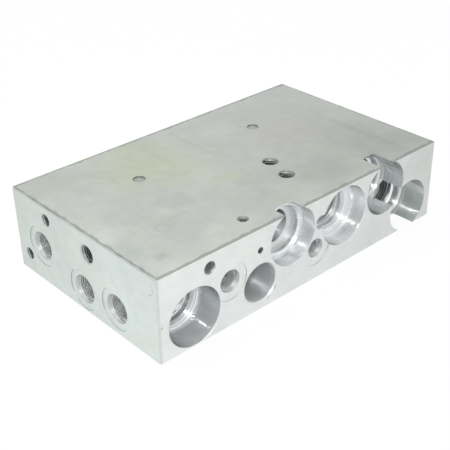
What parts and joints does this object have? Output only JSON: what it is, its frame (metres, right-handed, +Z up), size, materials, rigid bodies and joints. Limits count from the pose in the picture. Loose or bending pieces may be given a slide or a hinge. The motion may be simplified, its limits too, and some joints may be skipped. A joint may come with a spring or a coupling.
{
  "type": "hydraulic manifold block",
  "caption": "Machined aluminium manifold block with counterbored valve cavities, threaded ports, a plain bore and screw holes.",
  "frame": {"origin": "centre of the bottom face", "axes": "+Z up out of the top face, +X along the long side towards the right end, -Y out of the face with the valve cavities"},
  "size_m": [0.255, 0.152, 0.06],
  "materials": {
    "milled_aluminium": "satin milled faces, brighter turned bores, a clear passivated tint on the top"
  },
  "bodies": {
    "root": {"manifold_block": "milled_aluminium"}
  },
  "joints": []
}
